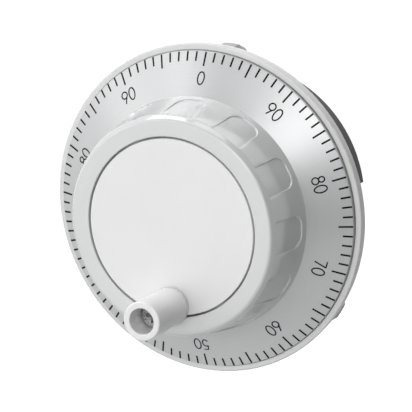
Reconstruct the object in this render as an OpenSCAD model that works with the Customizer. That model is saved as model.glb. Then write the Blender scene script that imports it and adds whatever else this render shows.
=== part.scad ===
// Pulse generator handwheel for a machine control panel.
//
// A fixed body sits behind a round flange and is held to the panel by three studs.
// In front of the flange turns the wheel: a coned dial, a grip knob and a small
// spinning crank handle. A ball detent gives one click for each dial division.
//
// Part frame: origin at the centre of the flange's rear seat, which meets the panel.
// -Y is the front, +Z is up. Every module is drawn looking at the front, with x to the
// right, y up and z towards the user, and is then stood up by wheel_frame or body_frame.

/* [Dial] */
// Outer diameter of the graduated dial
dial_d = 76.5; // [74:0.1:90]
// Height of the dial's outer edge in front of the panel
dial_edge_h = 3.7; // [3.6:0.1:6]
// Rise of the dial's cone from its edge to the knob
cone_rise = 4.95; // [4.6:0.05:8]
// Thickness of the dial at its outer edge
dial_edge_t = 1.0; // [0.7:0.1:1.1]
// Thickness of the dial's flat web
dial_web_t = 1.25; // [1:0.05:1.4]
// Divisions, clicks and disc slots in one turn
divisions = 100; // [80:20:120]

/* [Knob] */
// Diameter of the knob where it meets the dial
knob_base_d = 57; // [54.6:0.1:64]
// Diameter of the knob at its front edge
knob_front_d = 53; // [50:0.1:54]
// Height of the knob above the dial's web
knob_rise = 13.95; // [13:0.05:24]
// Radius of the knob's front edge
knob_edge_r = 1.0; // [0.5:0.1:1.4]
// Wall of the knob's side
knob_wall = 2.4; // [2:0.1:2.5]
// Thickness of the knob's front wall, under the cap
knob_front_wall = 2.0; // [1.6:0.1:2.6]
// Number of finger recesses
recess_count = 12; // [8:1:14]
// Width of one finger recess
recess_w = 8.0; // [5:0.1:10]
// Corner radius of a finger recess
recess_corner_r = 2.8; // [1:0.1:3.4]
// Distance from the dial to the end of a recess
recess_start = 2.65; // [1.5:0.05:6]
// Depth of a recess at its end near the dial
recess_depth = 0.5; // [0.3:0.05:1.2]
// Depth of a recess at its front end
recess_front_depth = 0.35; // [0.2:0.05:0.6]
// Plain band between the front end of a recess and the knob's front edge
recess_band = 0.8; // [0.4:0.1:2]

/* [Centre cap] */
// Diameter of the centre cap
cap_d = 42.6; // [40:0.1:46]
// Thickness of the centre cap
cap_t = 1.6; // [1.2:0.1:2.2]
// Groove around the centre cap
cap_gap = 0.5; // [0.2:0.05:0.8]
// How far the cap lies below the knob's front ring
cap_sink = 0.1; // [0:0.05:0.3]

/* [Crank spinner] */
// Distance of the spinner's axis from the wheel's axis
spinner_throw = 19.05; // [18.6:0.05:20]
// Diameter of the spinner grip at its base
spinner_base_d = 8.8; // [8.6:0.1:11]
// Diameter of the spinner grip at its tip
spinner_tip_d = 9.7; // [9:0.1:13]
// Length of the spinner grip
spinner_l = 14.85; // [12:0.05:30]
// Radius of the grip's tip edge
spinner_edge_r = 0.5; // [0.2:0.1:0.7]
// Diameter of the open bore in the tip
spinner_bore_d = 5.9; // [5.8:0.1:6.6]
// Depth of the open bore in the tip
spinner_bore_depth = 8.2; // [6:0.1:10]
// Diameter of the shoulder that the grip turns on
shoulder_d = 4.0; // [3.6:0.1:4.4]
// Diameter of the shoulder screw's head
spinner_head_d = 5.5; // [5:0.1:5.6]
// Height of the shoulder screw's head
spinner_head_h = 2.3; // [1.8:0.1:3]
// Diameter of the shoulder screw's thread
spinner_thread_d = 3.0; // [2.5:0.1:3.2]
// Thickness of the washer under the grip
spinner_washer_t = 0.6; // [0.4:0.1:1]
// Diameter of the washer under the grip
spinner_washer_d = 8.3; // [8:0.1:8.6]

/* [Flange] */
// Outer diameter of the flange's rim
rim_d = 80; // [78.6:0.1:94]
// Radius of the rim's rounded front
rim_round_r = 0.4; // [0.2:0.1:0.8]
// Height of the rim's widest line in front of the panel
rim_crown_h = 2.4; // [2.2:0.1:2.6]
// Taper of the rim from its widest line to the panel
rim_taper = 0.34; // [0:0.01:0.6]
// Thickness of the flange's plate
plate_t = 2.2; // [2:0.1:2.4]
// Radial gap between the dial and the rim
dial_gap = 0.35; // [0.2:0.05:0.5]
// Turn of the whole body against the dial's zero, clockwise
body_turn = 5.4; // [0:0.1:10]
// Diameter of the boss that holds the bearings
boss_d = 25; // [23:0.1:25.6]
// Inner diameter of the panel gasket
gasket_inner_d = 62.6; // [62.2:0.1:63]
// Outer diameter of the panel gasket
gasket_outer_d = 66.8; // [65:0.1:67.4]
// Thickness of the gasket as squeezed into its groove
gasket_t = 0.9; // [0.6:0.1:1.2]

/* [Panel studs] */
// Pitch circle of the mounting studs
stud_pcd = 72; // [71:0.1:73]
// Outside diameter of a stud's thread
stud_d = 4.0; // [3.8:0.1:4.4]
// Core diameter of a stud, where the nut sits and in the flange
stud_core_d = 3.4; // [3.1:0.1:3.5]
// Length of a stud behind the flange
stud_l = 7.9; // [6:0.1:20]
// Number of studs
stud_count = 3; // [3:1:3]
// Width of a nut across its flats
nut_af = 7.0; // [6:0.1:7.4]
// Height of a nut
nut_h = 3.2; // [2:0.1:4]

/* [Bearings] */
// Bore of each ball bearing
bearing_bore = 8; // [7:0.5:8.4]
// Outside diameter of each ball bearing
bearing_od = 19; // [18.6:0.1:20]
// Width of each ball bearing
bearing_w = 6; // [5:0.1:6.4]
// Diameter of a bearing ball
ball_d = 3.0; // [2.6:0.05:3.1]
// Balls in each bearing
ball_count = 7; // [5:1:8]
// Radial play between a ball and its track
ball_play = 0.02; // [0.01:0.01:0.04]
// Distance between the two bearings
bearing_spacing = 1.8; // [1:0.1:2.2]
// How far the front bearing stands above the plate
front_bearing_top = 4.6; // [4:0.05:4.9]

/* [Shaft and hub] */
// Diameter of the shaft's rear end, for the code disc
shaft_rear_d = 6; // [4:0.1:7]
// Thickness of the retaining ring
circlip_t = 0.8; // [0.6:0.1:1]
// Depth of the retaining ring's groove
circlip_depth = 0.4; // [0.3:0.05:0.6]
// Diameter of the hub's rear flange
hub_flange_d = 36; // [35:0.1:42]
// Thickness of the hub's rear flange
hub_flange_t = 2.0; // [1.5:0.1:3]
// Diameter of the hub's neck
hub_neck_d = 17; // [15:0.1:19]
// Diameter of the hub's front flange
hub_front_d = 26; // [25:0.1:27]
// Thickness of the hub's front flange
hub_front_t = 2.6; // [2:0.1:3.2]
// Pitch circle of the screws that clamp the dial
hub_screw_pcd = 31; // [30.6:0.1:31.2]
// Pitch circle of the screws that hold the knob
knob_screw_pcd = 20; // [19.6:0.1:20.4]

/* [Detent] */
// Crest diameter of the detent ring's notches
detent_crest_d = 43; // [42.6:0.1:43.4]
// Depth of a detent notch
notch_depth = 0.45; // [0.3:0.05:0.6]
// Outside diameter of the detent ring
detent_ring_d = 50; // [47:0.1:51.6]
// Thickness of the detent ring's flange
detent_flange_t = 1.3; // [1:0.1:1.4]
// Diameter of the detent ball
detent_ball_d = 2.2; // [2:0.05:2.3]
// Clearance between the lifted ball and the notches' crests
detent_clear = 0.05; // [0.03:0.01:0.1]
// Running gap above and below the detent block
detent_gap = 0.4; // [0.3:0.05:0.5]
// Wire diameter of the detent spring
spring_wire_d = 0.3; // [0.2:0.05:0.4]
// Turns of the detent spring
spring_turns = 5; // [4:1:7]

/* [Encoder] */
// Diameter of the code disc
disc_d = 40; // [36:0.1:41]
// Thickness of the code disc
disc_t = 0.3; // [0.2:0.05:0.4]
// Radial length of a slot in the code disc
slot_l = 3.0; // [2:0.1:4]
// Diameter of the code disc's hub
disc_hub_d = 13; // [12:0.1:15]
// Height of the circuit board's front face behind the panel seat
board_h = 4.4; // [3.4:0.1:4.6]
// Thickness of the circuit board
board_t = 1.6; // [1:0.1:1.6]
// Gap between the circuit board and the housing's wall
board_gap = 0.5; // [0.3:0.1:1]
// Width of the optical sensor
sensor_w = 12; // [9:0.1:13]

/* [Housing] */
// Outside diameter of the housing, which passes through the panel
housing_d = 61; // [60.6:0.1:61.6]
// Depth of the housing behind the panel
housing_depth = 20.2; // [19.4:0.1:30]
// Wall of the housing
housing_wall = 1.8; // [1.4:0.1:2]
// Depth of the terminal deck behind the panel
deck_depth = 13.8; // [13.6:0.1:14.4]
// Height of the step above the terminal deck, over the wheel's axis
deck_step = 7.6; // [4:0.1:12]
// Radius of the housing's rear edge
housing_edge_r = 0.8; // [0.4:0.1:1.2]
// Pitch circle of the screws that hold the housing
housing_screw_pcd = 52; // [51:0.1:52.4]

/* [Terminals] */
// Number of terminals
terminal_count = 6; // [4:1:6]
// Distance between neighbouring terminals
terminal_pitch = 5.0; // [4.8:0.1:5.2]
// Length of one terminal's channel
terminal_l = 10; // [9:0.1:11]
// Height of the terminal block behind the deck
terminal_h = 6.0; // [5.4:0.1:6.2]
// Distance of the terminal screws below the wheel's axis
terminal_drop = 16.5; // [15.5:0.1:17]

/* [Hidden] */
$fn = 96;
cut = 1; // how far a cutting shape runs past what it cuts

dial_r = dial_d / 2;
web_front_h = dial_edge_h + cone_rise;
web_rear_h = web_front_h - dial_web_t;
cone_slope = cone_rise / (dial_r - knob_base_d / 2);

knob_r = knob_base_d / 2;
knob_front_r = knob_front_d / 2;
knob_face_h = web_front_h + knob_rise;
knob_side_h = knob_face_h - knob_edge_r;
cap_r = cap_d / 2;
cap_seat_h = knob_face_h - cap_sink - cap_t;
front_wall_h = cap_seat_h - knob_front_wall;
cap_leg_angles = [90, 210, 330];
cap_leg_r = 17.5;
cap_leg_w = 5;
cap_leg_t = 1.2;
cap_hook = 0.5;
cap_leg_run = 0.2; // clearance of the cap's legs in their slots

spinner_boss_r = spinner_washer_d / 2 - 0.05;
insert_r = spinner_thread_d / 2 + 1.1;
insert_l = 8;
spinner_base_h = knob_face_h + spinner_washer_t;
spinner_play = 0.05;
spinner_tip_h = spinner_base_h + spinner_play + spinner_l;
spinner_step_h = spinner_tip_h - spinner_bore_depth;
spinner_run = 0.06; // radial running clearance on the shoulder

rim_r = rim_d / 2;
stud_cover = 0.3; // what is left of the plate in front of a stud
recess_r = dial_r + dial_gap;
boss_r = boss_d / 2;
boss_top_h = plate_t + front_bearing_top;
bearing_r = bearing_od / 2;
front_bearing_h = boss_top_h - bearing_w;
rear_bearing_h = front_bearing_h - bearing_spacing - bearing_w;
boss_rear_h = rear_bearing_h - 0.6;
ball_r = ball_d / 2;
ball_pitch_r = (bearing_bore + bearing_od) / 4;
track_r = ball_r * 1.04;
track_depth = 0.4;

shaft_r = bearing_bore / 2;
circlip_h = rear_bearing_h - circlip_t;
shaft_land_h = circlip_h - 0.4;
shaft_tip_h = front_wall_h - 0.7;
hub_pilot_r = shaft_r + 5;
hub_seat_r = shaft_r + 1.4;
set_screw_r = 2;
set_screw_h = web_front_h + hub_flange_t + 2.6;
clamp_screw_r = 1.25;
clamp_screw_head_r = 2.25;
clamp_screw_head_h = 1.5;
knob_screw_r = 1.5;
knob_screw_head_r = 2.8;

detent_ring_r = detent_ring_d / 2;
detent_crest_r = detent_crest_d / 2;
detent_bore_r = boss_r + 1;
detent_flange_h = web_rear_h - detent_flange_t;
block_top_h = detent_flange_h - detent_gap;
skirt_h = plate_t + detent_gap;
detent_ball_h = (plate_t + block_top_h) / 2;
detent_ball_r = detent_ball_d / 2;
detent_ball_x = detent_crest_r - detent_ball_r - detent_clear;
detent_bore_run = 0.02;
detent_side = 180; // where the detent sits on the body, anticlockwise from the right
notch_phase = detent_side - body_turn; // the notch that faces the ball at rest
block_in_r = boss_r + 0.9;
block_nose_r = detent_ball_x + 0.35;
block_nose_w = detent_ball_d + 1.8;
block_wing_w = 13;
block_wing_l = 4.4;
block_screw_spacing = 8.6;
block_screw_r = 1;
block_screw_head_r = 1.9;
block_screw_floor = 0.4; // what is left of the plate behind the block's screws
spring_l = detent_ball_x - detent_ball_r - block_in_r - 1;
spring_r = detent_ball_r - spring_wire_d / 2 - 0.05;

housing_r = housing_d / 2;
housing_in_r = housing_r - housing_wall;

disc_r = disc_d / 2;
disc_hub_h = shaft_land_h;
disc_hub_t = 2.0;
disc_h = disc_hub_h - disc_hub_t;
disc_clamp_t = 0.7;
disc_collar_r = shaft_rear_d / 2 + 2;
shaft_rear_h = disc_h - disc_t - disc_clamp_t - 0.6;
board_r = housing_in_r - board_gap;
board_rear_h = -board_h - board_t;
board_bore_r = boss_r + 1;
board_screw_pcd = 38;
board_screw_r = 1.0;
board_screw_head_r = 1.8;
board_screw_head_h = 1.1;
board_screw_bite = 3.4;
board_post_r = 2.4;
chip_w = 6.4;
chip_l = 6;
chip_t = 1.4;
chip_x = 19;
chip_y = 6.4;
sensor_in_r = disc_r - slot_l;
sensor_out_r = disc_r + 4;
sensor_gap = 0.8;

deck_in_h = -deck_depth + housing_wall;
pillar_r = 3.0;
housing_screw_r = 1.25;
housing_screw_head_r = 2.3;
housing_screw_l = 7;

terminal_w = terminal_count * terminal_pitch + 1.6;
terminal_rear_h = -deck_depth - terminal_h;
terminal_floor_h = -deck_depth - terminal_h + 3.4;
terminal_channel_w = terminal_pitch - 1;
terminal_screw_r = 1.25;
terminal_head_r = 1.85;
terminal_head_h = 1.3;
terminal_screw_l = 3.2;
clamp_plate_t = 0.6;
pin_w = 0.9;
pin_drop = terminal_drop + 5;
plug_w = (terminal_count - 1) * terminal_pitch + 3;
plug_h = 3;

// ---------- frames and small helpers ----------

module wheel_frame() {
    rotate([90, 0, 0]) children();
}

module body_frame() {
    wheel_frame() rotate([0, 0, -body_turn]) children();
}

module spinner_frame() {
    wheel_frame() translate([0, -spinner_throw, 0]) children();
}

// A plain disc or cylinder from height z0 to height z1
module disc(r, z0, z1) {
    translate([0, 0, z0]) cylinder(r = r, h = z1 - z0);
}

// A tube from height z0 to height z1
module tube(ro, ri, z0, z1) {
    difference() {
        disc(ro, z0, z1);
        disc(ri, z0 - cut, z1 + cut);
    }
}

// Copies of a child on a circle, the first at the given angle
module around(count, r, first = 0) {
    for (i = [0 : count - 1])
        rotate([0, 0, first + i * 360 / count]) translate([r, 0, 0]) children();
}

// A rectangle with its middle on the x axis, from x0 to x1
module bar(x0, x1, w) {
    translate([x0, -w / 2]) square([x1 - x0, w]);
}

// A rectangular block from height z0 to height z1
module slab(x0, x1, y0, y1, z0, z1) {
    translate([x0, y0, z0]) cube([x1 - x0, y1 - y0, z1 - z0]);
}

// A cross recess that starts at height z and goes down by depth
module cross_recess(w, z, depth) {
    for (a = [0, 90])
        rotate([0, 0, a]) slab(-w / 2, w / 2, -w / 8, w / 8, z - depth, z + cut);
}

// A screw whose head lies on height z, with its thread running down
module cap_screw(thread_r, l, head_r, head_h, z) {
    difference() {
        union() {
            disc(thread_r, z - l, z);
            disc(head_r, z, z + head_h);
        }
        cross_recess(head_r * 1.1, z + head_h, head_h * 0.6);
    }
}

// A countersunk screw whose head ends flush at height z
module flush_screw(thread_r, l, head_r, z) {
    head_h = head_r - thread_r;
    difference() {
        union() {
            disc(thread_r, z - l, z);
            translate([0, 0, z - head_h]) cylinder(r1 = thread_r, r2 = head_r, h = head_h);
        }
        cross_recess(head_r * 1.1, z, head_h * 0.7);
    }
}

// The hole for a flush_screw
module flush_hole(thread_r, l, head_r, z) {
    head_h = head_r - thread_r;
    disc(thread_r, z - l, z + cut);
    translate([0, 0, z - head_h]) cylinder(r1 = thread_r, r2 = head_r, h = head_h);
}

// ---------- flange and what fixes it ----------

module rim_profile() {
    difference() {
        union() {
            polygon([[housing_in_r, 0], [rim_r - rim_taper, 0], [rim_r, rim_crown_h],
                [rim_r - rim_round_r, rim_crown_h + rim_round_r],
                [housing_in_r, rim_crown_h + rim_round_r]]);
            translate([rim_r - rim_round_r, rim_crown_h]) circle(r = rim_round_r);
        }
        translate([0, plate_t]) square([recess_r, rim_crown_h + rim_round_r]);
    }
}

module flange() {
    color("gainsboro") body_frame() difference() {
        union() {
            rotate_extrude() rim_profile();
            disc(housing_in_r + cut, 0, plate_t);
            disc(boss_r, boss_rear_h, boss_top_h);
            // stiffening ribs on the rear, between the boss and the housing
            for (a = [30 : 60 : 330])
                rotate([0, 0, a]) slab(boss_r - cut, housing_in_r - 1, -0.8, 0.8, -2, cut);
            // posts for the circuit board
            around(3, board_screw_pcd / 2) disc(board_post_r, -board_h, cut);
        }
        // bearing seats and the shoulder between them
        disc(bearing_r, front_bearing_h, boss_top_h + cut);
        disc(bearing_r, boss_rear_h - cut, rear_bearing_h + bearing_w);
        disc(bearing_r - 1.1, boss_rear_h, boss_top_h);
        // gasket groove
        tube(gasket_outer_d / 2, gasket_inner_d / 2, -cut, gasket_t);
        around(stud_count, stud_pcd / 2, 90) disc(stud_core_d / 2, -cut, plate_t - stud_cover);
        around(4, housing_screw_pcd / 2, 45)
            flush_hole(housing_screw_r, plate_t + cut, housing_screw_head_r, plate_t);
        around(3, board_screw_pcd / 2) disc(board_screw_r, -board_h - cut, 1);
        rotate([0, 0, detent_side]) for (s = [-1, 1])
            translate([block_in_r + block_wing_l / 2, s * block_screw_spacing / 2, 0])
                disc(block_screw_r, block_screw_floor, plate_t + cut);
    }
}

module panel_gasket() {
    color("dimgray") body_frame() tube(gasket_outer_d / 2, gasket_inner_d / 2, 0, gasket_t);
}

module mounting_studs() {
    point_h = 0.5;
    color("silver") body_frame() around(stud_count, stud_pcd / 2, 90) {
        disc(stud_core_d / 2, -nut_h, plate_t - stud_cover);
        disc(stud_d / 2, point_h - stud_l, -nut_h);
        translate([0, 0, -stud_l])
            cylinder(r1 = stud_d / 2 - point_h, r2 = stud_d / 2, h = point_h);
    }
}

module mounting_nuts() {
    corner_r = nut_af / 2 / cos(30);
    face_r = nut_af / 2 * 0.97;
    color("dimgray") body_frame() around(stud_count, stud_pcd / 2, 90) difference() {
        // the nuts keep their flats level, whatever their place on the circle
        rotate([0, 0, body_turn + 90]) translate([0, 0, -nut_h]) intersection() {
            cylinder(r = corner_r, h = nut_h, $fn = 6);
            union() {
                cylinder(r1 = face_r, r2 = corner_r + 0.2, h = 0.6);
                disc(corner_r + 0.2, 0.6, nut_h);
            }
        }
        disc(stud_core_d / 2, -nut_h - cut, cut);
    }
}

// ---------- ball bearings ----------

module bearing_track(groove_at) {
    translate([groove_at, bearing_w / 2]) circle(r = track_r);
}

module bearing_outer(z) {
    wheel_frame() translate([0, 0, z]) rotate_extrude() difference() {
        land_r = ball_pitch_r + ball_r - track_depth;
        translate([land_r, 0]) square([bearing_r - land_r, bearing_w]);
        bearing_track(ball_pitch_r + ball_r + ball_play - track_r);
    }
}

module bearing_inner(z) {
    wheel_frame() translate([0, 0, z]) rotate_extrude() difference() {
        translate([shaft_r, 0])
            square([ball_pitch_r - ball_r + track_depth - shaft_r, bearing_w]);
        bearing_track(ball_pitch_r - ball_r - ball_play + track_r);
    }
}

module bearing_balls(z) {
    wheel_frame() around(ball_count, ball_pitch_r) translate([0, 0, z + bearing_w / 2])
        sphere(r = ball_r);
}

module bearing_cage(z) {
    cage_w = ball_d + 0.8;
    pocket_r = ball_r + 0.08;
    wheel_frame() translate([0, 0, z + bearing_w / 2]) difference() {
        tube(ball_pitch_r + ball_r * 0.45, ball_pitch_r - ball_r * 0.45,
            -cage_w / 2, cage_w / 2);
        around(ball_count, 0) rotate([0, 90, 0]) cylinder(r = pocket_r, h = bearing_r);
    }
}

module front_bearing_outer_race() {
    color("lightsteelblue") bearing_outer(front_bearing_h);
}

module front_bearing_inner_race() {
    color("lightsteelblue") bearing_inner(front_bearing_h);
}

module front_bearing_balls() {
    color("white") bearing_balls(front_bearing_h);
}

module front_bearing_cage() {
    color("goldenrod") bearing_cage(front_bearing_h);
}

module rear_bearing_outer_race() {
    color("lightsteelblue") bearing_outer(rear_bearing_h);
}

module rear_bearing_inner_race() {
    color("lightsteelblue") bearing_inner(rear_bearing_h);
}

module rear_bearing_balls() {
    color("white") bearing_balls(rear_bearing_h);
}

module rear_bearing_cage() {
    color("goldenrod") bearing_cage(rear_bearing_h);
}

module bearing_spacer() {
    color("silver") wheel_frame()
        tube(hub_seat_r - 0.2, shaft_r, rear_bearing_h + bearing_w, front_bearing_h);
}

module retaining_ring() {
    color("gray") wheel_frame() difference() {
        tube(shaft_r + 1.6, shaft_r - circlip_depth, circlip_h, rear_bearing_h);
        slab(0, shaft_r + 3, -1.2, 1.2, circlip_h - cut, rear_bearing_h + cut);
    }
}

// ---------- shaft and hub ----------

module shaft() {
    color("silver") wheel_frame() difference() {
        union() {
            disc(shaft_r, shaft_land_h, shaft_tip_h - 0.5);
            translate([0, 0, shaft_tip_h - 0.5])
                cylinder(r1 = shaft_r, r2 = shaft_r - 0.5, h = 0.5);
            disc(shaft_rear_d / 2, shaft_rear_h, shaft_land_h);
        }
        tube(shaft_r + cut, shaft_r - circlip_depth, circlip_h, rear_bearing_h);
    }
}

module wheel_hub() {
    color("lightgray") wheel_frame() difference() {
        union() {
            disc(hub_seat_r, boss_top_h, web_rear_h);
            disc(hub_pilot_r, web_rear_h, web_front_h);
            disc(hub_flange_d / 2, web_front_h, web_front_h + hub_flange_t);
            disc(hub_neck_d / 2, web_front_h, front_wall_h);
            disc(hub_front_d / 2, front_wall_h - hub_front_t, front_wall_h);
        }
        disc(shaft_r, boss_top_h - cut, front_wall_h + cut);
        around(3, hub_screw_pcd / 2, 30)
            disc(clamp_screw_r, web_front_h - cut, web_front_h + hub_flange_t + cut);
        around(3, knob_screw_pcd / 2, 90)
            disc(knob_screw_r, front_wall_h - hub_front_t - cut, front_wall_h + cut);
        for (a = [0, 90])
            rotate([0, 0, a]) translate([0, 0, set_screw_h]) rotate([0, 90, 0])
                cylinder(r = set_screw_r, h = hub_neck_d / 2 + cut);
    }
}

module hub_set_screws() {
    tip = shaft_r;
    l = hub_neck_d / 2 - tip - 0.3;
    color("dimgray") wheel_frame() for (a = [0, 90])
        rotate([0, 0, a]) translate([tip, 0, set_screw_h]) rotate([0, 90, 0]) difference() {
            // the screws stop on the shaft, and their ends take its curve
            translate([0, 0, -0.6]) cylinder(r = set_screw_r, h = l + 0.6);
            translate([0, 0, l - 1.2]) cylinder(r = 1.0, h = 1.2 + cut, $fn = 6);
            translate([0, 0, -tip]) rotate([0, 90, 0])
                cylinder(r = shaft_r, h = 3 * set_screw_r, center = true);
        }
}

module dial_clamp_screws() {
    color("gray") wheel_frame() around(3, hub_screw_pcd / 2, 30)
        cap_screw(clamp_screw_r, hub_flange_t + dial_web_t + detent_flange_t,
            clamp_screw_head_r, clamp_screw_head_h, web_front_h + hub_flange_t);
}

// ---------- dial ----------

module dial() {
    web_edge_r = dial_r - (web_rear_h - dial_edge_h + dial_edge_t) / cone_slope;
    color("lightgray") wheel_frame() difference() {
        rotate_extrude() polygon([[hub_pilot_r, web_rear_h], [web_edge_r, web_rear_h],
            [dial_r, dial_edge_h - dial_edge_t], [dial_r, dial_edge_h],
            [knob_r, web_front_h], [hub_pilot_r, web_front_h]]);
        around(3, hub_screw_pcd / 2, 30)
            disc(clamp_screw_r, web_rear_h - cut, web_front_h + cut);
    }
}

// ---------- detent ----------

// Inside outline of the notched ring: one crest and one valley for each division
module notch_outline() {
    polygon([for (i = [0 : divisions - 1], half = [0, 1])
        let (r = detent_crest_r + (half == 0 ? notch_depth : 0),
            a = notch_phase + (i + half / 2) * 360 / divisions)
        [r * cos(a), r * sin(a)]]);
}

module detent_ring() {
    color("slategray") wheel_frame() difference() {
        union() {
            disc(detent_ring_r, detent_flange_h, web_rear_h);
            translate([0, 0, skirt_h]) linear_extrude(detent_flange_h - skirt_h)
                difference() {
                    circle(r = detent_ring_r);
                    notch_outline();
                }
        }
        disc(detent_bore_r, detent_flange_h - cut, web_rear_h + cut);
        around(3, hub_screw_pcd / 2, 30)
            disc(clamp_screw_r, detent_flange_h - cut, web_rear_h + cut);
    }
}

module detent_frame() {
    body_frame() rotate([0, 0, detent_side]) children();
}

// Lies along the detent's radius, from distance x0 to x1
module detent_bore(r, x0, x1) {
    translate([x0, 0, detent_ball_h]) rotate([0, 90, 0]) cylinder(r = r, h = x1 - x0);
}

module detent_block() {
    color("goldenrod") detent_frame() difference() {
        translate([0, 0, plate_t]) linear_extrude(block_top_h - plate_t) {
            bar(block_in_r, block_nose_r, block_nose_w);
            bar(block_in_r, block_in_r + block_wing_l, block_wing_w);
        }
        detent_bore(detent_ball_r + detent_bore_run, block_in_r + 1, block_nose_r + cut);
        for (s = [-1, 1])
            translate([block_in_r + block_wing_l / 2, s * block_screw_spacing / 2, 0])
                flush_hole(block_screw_r, block_top_h - plate_t + cut, block_screw_head_r,
                    block_top_h);
    }
}

module detent_block_screws() {
    color("gray") detent_frame() for (s = [-1, 1])
        translate([block_in_r + block_wing_l / 2, s * block_screw_spacing / 2, 0])
            flush_screw(block_screw_r, block_top_h - block_screw_floor, block_screw_head_r,
                block_top_h);
}

module detent_ball() {
    color("white") detent_frame() translate([detent_ball_x, 0, detent_ball_h])
        sphere(r = detent_ball_r);
}

// One point of the spring's wire, at a share of the way round it and along it
function spring_point(i, j, steps, sides) =
    let (turn = 360 * spring_turns * i / steps, side = 360 * j / sides,
        rr = spring_r - spring_wire_d / 2 * cos(side))
    [spring_wire_d / 2 + (spring_l - spring_wire_d) * i / steps
        + spring_wire_d / 2 * sin(side), rr * cos(turn), rr * sin(turn)];

module detent_spring() {
    sides = 6;
    steps = 12 * spring_turns;
    points = [for (i = [0 : steps], j = [0 : sides - 1]) spring_point(i, j, steps, sides)];
    skin = [for (i = [0 : steps - 1], j = [0 : sides - 1])
        let (k = (j + 1) % sides)
        [i * sides + j, i * sides + k, (i + 1) * sides + k, (i + 1) * sides + j]];
    ends = [[for (j = [sides - 1 : -1 : 0]) j], [for (j = [0 : sides - 1]) steps * sides + j]];
    color("silver") detent_frame() translate([block_in_r + 1, 0, detent_ball_h])
        polyhedron(points = points, faces = concat(skin, ends));
}

// ---------- knob and cap ----------

module recess_outline() {
    // drawn with x around the knob and y along its axis, with a square front end
    top = knob_rise - knob_edge_r - recess_band;
    translate([-recess_w / 2, recess_start + recess_corner_r])
        square([recess_w, top - recess_start - recess_corner_r]);
    translate([-recess_w / 2 + recess_corner_r, recess_start])
        square([recess_w - 2 * recess_corner_r, top - recess_start]);
    for (s = [-1, 1])
        translate([s * (recess_w / 2 - recess_corner_r), recess_start + recess_corner_r])
            circle(r = recess_corner_r);
}

// Everything outside the cone that the recess floors lie on
module outside_recess_floor() {
    slope = (knob_r - knob_front_r) / (knob_side_h - web_front_h);
    start_r = knob_r - slope * recess_start - recess_depth;
    end_r = knob_front_r - recess_front_depth;
    start_h = web_front_h + recess_start;
    rate = (start_r - end_r) / (knob_side_h - start_h);
    difference() {
        disc(knob_r + cut, start_h - cut, knob_face_h + cut);
        translate([0, 0, start_h - 2 * cut])
            cylinder(r1 = start_r + 2 * cut * rate,
                r2 = end_r - rate * (knob_edge_r + 2 * cut),
                h = knob_face_h - start_h + 4 * cut);
    }
}

module finger_recesses() {
    intersection() {
        outside_recess_floor();
        union() for (i = [0 : recess_count - 1])
            rotate([0, 0, 90 - i * 360 / recess_count]) translate([0, 0, web_front_h])
                rotate([90, 0, 90]) linear_extrude(knob_r + 2 * cut) recess_outline();
    }
}

module knob_profile() {
    inner_base_r = knob_r - knob_wall;
    inner_front_r = knob_front_r - knob_wall;
    difference() {
        union() {
            polygon([[0, web_front_h], [knob_r, web_front_h], [knob_front_r, knob_side_h],
                [0, knob_side_h]]);
            translate([0, knob_side_h - cut])
                square([knob_front_r - knob_edge_r, knob_edge_r + cut]);
            translate([knob_front_r - knob_edge_r, knob_side_h]) circle(r = knob_edge_r);
        }
        polygon([[0, web_front_h - cut], [inner_base_r, web_front_h - cut],
            [inner_base_r, web_front_h], [inner_front_r, front_wall_h], [0, front_wall_h]]);
        translate([0, cap_seat_h]) square([cap_r + cap_gap, cap_t + 2 * cut]);
    }
}

module at_cap_legs() {
    for (a = cap_leg_angles) rotate([0, 0, a]) children();
}

module knob() {
    color("whitesmoke") difference() {
        union() {
            wheel_frame() rotate_extrude() knob_profile();
            spinner_frame() disc(spinner_boss_r, knob_face_h - insert_l - 1, knob_face_h);
        }
        wheel_frame() finger_recesses();
        spinner_frame() disc(insert_r, knob_face_h - insert_l, knob_face_h + cut);
        wheel_frame() around(3, knob_screw_pcd / 2, 90)
            flush_hole(knob_screw_r, knob_front_wall + cut, knob_screw_head_r, cap_seat_h);
        wheel_frame() at_cap_legs()
            slab(cap_leg_r - cap_leg_run, cap_leg_r + cap_leg_t + cap_hook + cap_leg_run,
                -cap_leg_w / 2 - cap_leg_run, cap_leg_w / 2 + cap_leg_run,
                front_wall_h - cut, cap_seat_h + cut);
    }
}

module knob_screws() {
    color("silver") wheel_frame() around(3, knob_screw_pcd / 2, 90)
        flush_screw(knob_screw_r, knob_front_wall + hub_front_t, knob_screw_head_r,
            cap_seat_h);
}

module centre_cap() {
    edge = 0.15;
    color("white") difference() {
        wheel_frame() union() {
            disc(cap_r, cap_seat_h, cap_seat_h + cap_t - edge);
            translate([0, 0, cap_seat_h + cap_t - edge])
                cylinder(r1 = cap_r, r2 = cap_r - edge, h = edge);
            at_cap_legs() {
                slab(cap_leg_r, cap_leg_r + cap_leg_t, -cap_leg_w / 2, cap_leg_w / 2,
                    front_wall_h - 1.2, cap_seat_h + cut / 2);
                slab(cap_leg_r, cap_leg_r + cap_leg_t + cap_hook, -cap_leg_w / 2,
                    cap_leg_w / 2, front_wall_h - 1.2, front_wall_h - 0.1);
            }
        }
        spinner_frame() disc(spinner_boss_r + 0.15, cap_seat_h - cut, knob_face_h + cut);
    }
}

// ---------- crank spinner ----------

module spinner_insert() {
    color("goldenrod") spinner_frame()
        tube(insert_r, spinner_thread_d / 2, knob_face_h - insert_l, knob_face_h);
}

module spinner_washer() {
    color("gray") spinner_frame()
        tube(spinner_washer_d / 2, spinner_thread_d / 2, knob_face_h, spinner_base_h);
}

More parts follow.
